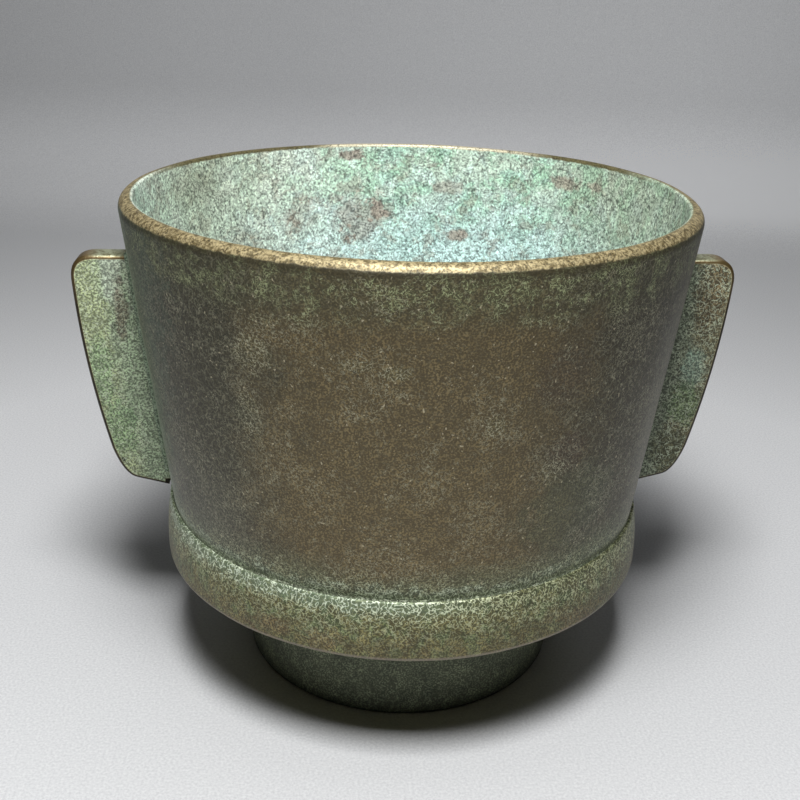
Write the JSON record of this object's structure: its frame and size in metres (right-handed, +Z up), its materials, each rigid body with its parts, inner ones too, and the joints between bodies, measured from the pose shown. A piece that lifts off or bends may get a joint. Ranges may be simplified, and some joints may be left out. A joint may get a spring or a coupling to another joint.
{
  "type": "tea cup",
  "caption": "Aged brass tea cup with a tapered wall, a shallow base pan, a ring foot and a flat upright flange ear on each side.",
  "frame": {"origin": "centre of the foot ring's resting face", "axes": "+Z up along the cup's axis; the flange ears lie along X, left_ear on -X and right_ear on +X; the pictured front faces -Y"},
  "size_m": [0.1012, 0.085, 0.0755],
  "materials": {
    "wall_brass": "dark olive-brown patina with fine verdigris speckle, worn bright on the lip",
    "pan_brass": "green-brown mottled patina",
    "foot_brass": "dark green patina",
    "ear_brass": "pale verdigris patina, worn edges",
    "solder": "dull verdigris-coated solder"
  },
  "bodies": {
    "root": {"cup_wall": "wall_brass", "base_pan": "pan_brass", "foot_ring": "foot_brass", "right_ear": "ear_brass", "left_ear": "ear_brass", "right_ear_solder": "solder", "left_ear_solder": "solder", "waist_solder": "solder", "foot_solder": "solder"}
  },
  "joints": []
}
